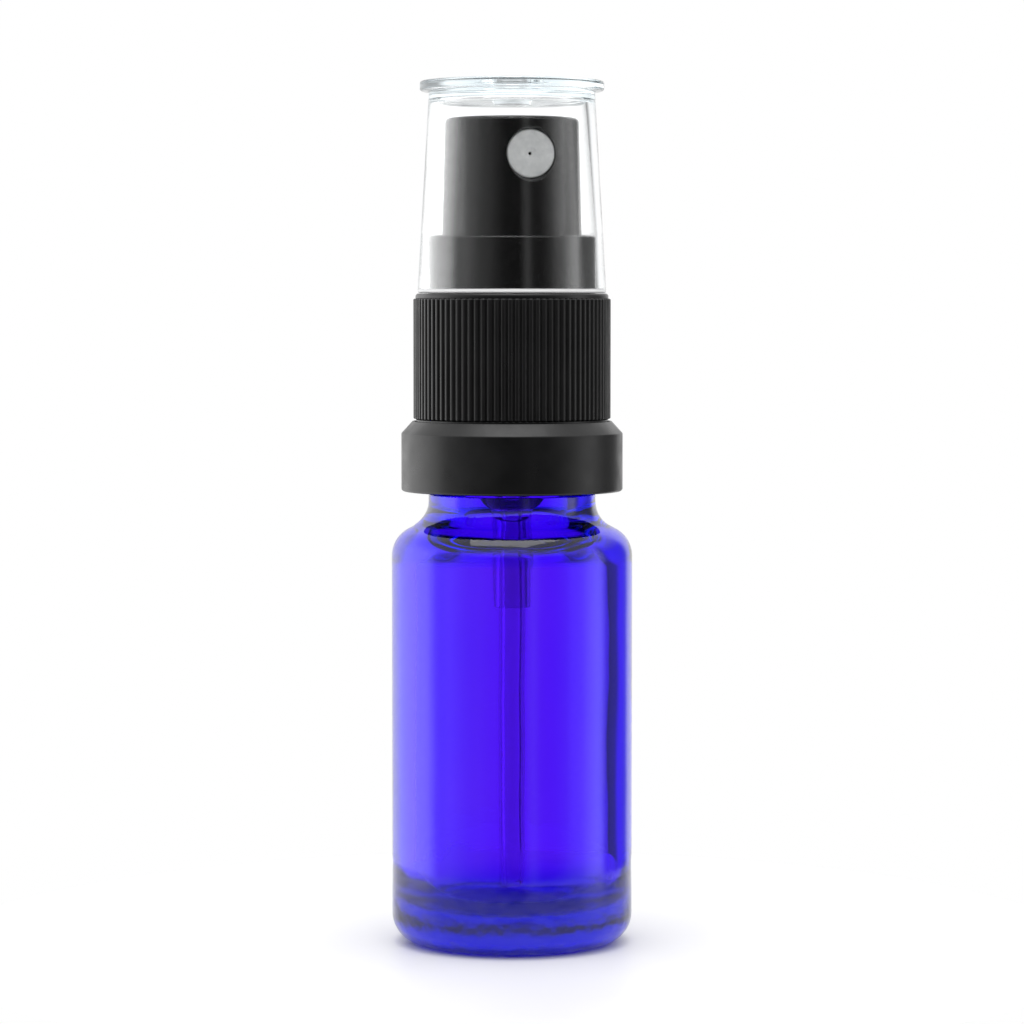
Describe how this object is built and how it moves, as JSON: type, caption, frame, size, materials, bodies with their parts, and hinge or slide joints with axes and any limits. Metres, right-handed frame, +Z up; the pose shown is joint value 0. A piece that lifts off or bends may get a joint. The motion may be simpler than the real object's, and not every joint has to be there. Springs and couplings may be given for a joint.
{
  "type": "perfume atomiser",
  "caption": "Small glass bottle with a screw-on fine-mist sprayer, ribbed closure with tamper band, finger button and clear push-on overcap.",
  "frame": {"origin": "centre of the bottle's foot, on the surface that the bottle stands on", "axes": "+Z up along the bottle's axis, towards the overcap; the spray nozzle faces -Y"},
  "size_m": [0.0248, 0.0248, 0.0887],
  "materials": {
    "cobalt_glass": "polished moulded soda-lime glass, cobalt blue",
    "satin_black_plastic": "satin moulded polypropylene",
    "gloss_black_plastic": "high-gloss moulded polypropylene",
    "clear_plastic": "clear polished polypropylene or styrene",
    "white_acetal": "fine satin acetal",
    "natural_polypropylene": "translucent natural moulding",
    "soft_polyethylene": "soft waxy moulding",
    "spring_steel": "drawn stainless wire"
  },
  "bodies": {
    "bottle": {"bottle": "cobalt_glass"},
    "tamper_band": {"tamper_band": "satin_black_plastic"},
    "pump": {"pump_housing": "natural_polypropylene", "neck_gasket": "soft_polyethylene", "chaplet": "white_acetal", "collar": "gloss_black_plastic", "dip_tube": "natural_polypropylene"},
    "closure": {"closure": "satin_black_plastic", "tamper_bridges": "satin_black_plastic"},
    "overcap": {"overcap": "clear_plastic"},
    "spring": {"return_spring": "spring_steel"},
    "plunger": {"upper_stem": "white_acetal", "lower_stem": "white_acetal", "actuator": "gloss_black_plastic", "nozzle_insert": "white_acetal", "precompression_spring": "spring_steel"},
    "piston": {"piston": "soft_polyethylene"},
    "ball": {"inlet_ball": "spring_steel"}
  },
  "joints": [
    {"name": "band_turn", "type": "hinge", "parent": "bottle", "child": "tamper_band", "pos_m": [0, 0, 0.0503], "axis": [0, 0, 1], "continuous": true},
    {"name": "pump_lift", "type": "slide", "parent": "bottle", "child": "pump", "axis": [0, 0, 1], "range_m": [0, 0.006]},
    {"name": "closure_unscrew", "type": "hinge", "parent": "pump", "child": "closure", "pos_m": [0, 0, 0.06], "axis": [0, 0, 1], "range_deg": [0, 720]},
    {"name": "overcap_lift", "type": "slide", "parent": "pump", "child": "overcap", "axis": [0, 0, 1], "range_m": [0, 0.03]},
    {"name": "actuator_turn", "type": "hinge", "parent": "pump", "child": "spring", "pos_m": [0, 0, 0.07], "axis": [0, 0, 1], "continuous": true},
    {"name": "actuator_press", "type": "slide", "parent": "spring", "child": "plunger", "axis": [0, 0, -1], "range_m": [0, 0.0045], "stiffness_N_per_m": 900, "springref_m": -0.004, "deforming": ["return_spring"]},
    {"name": "piston_follow", "type": "slide", "parent": "pump", "child": "piston", "axis": [0, 0, -1], "range_m": [0, 0.0039], "deforming": ["precompression_spring"]},
    {"name": "ball_lift", "type": "slide", "parent": "pump", "child": "ball", "axis": [0, 0, 1], "range_m": [0, 0.0008]}
  ],
  "couplings": [
    {"joint": "pump_lift", "follows": "closure_unscrew", "m_per_rad": 0.00047746},
    {"joint": "piston_follow", "follows": "actuator_press", "ratio": 0.86667}
  ]
}
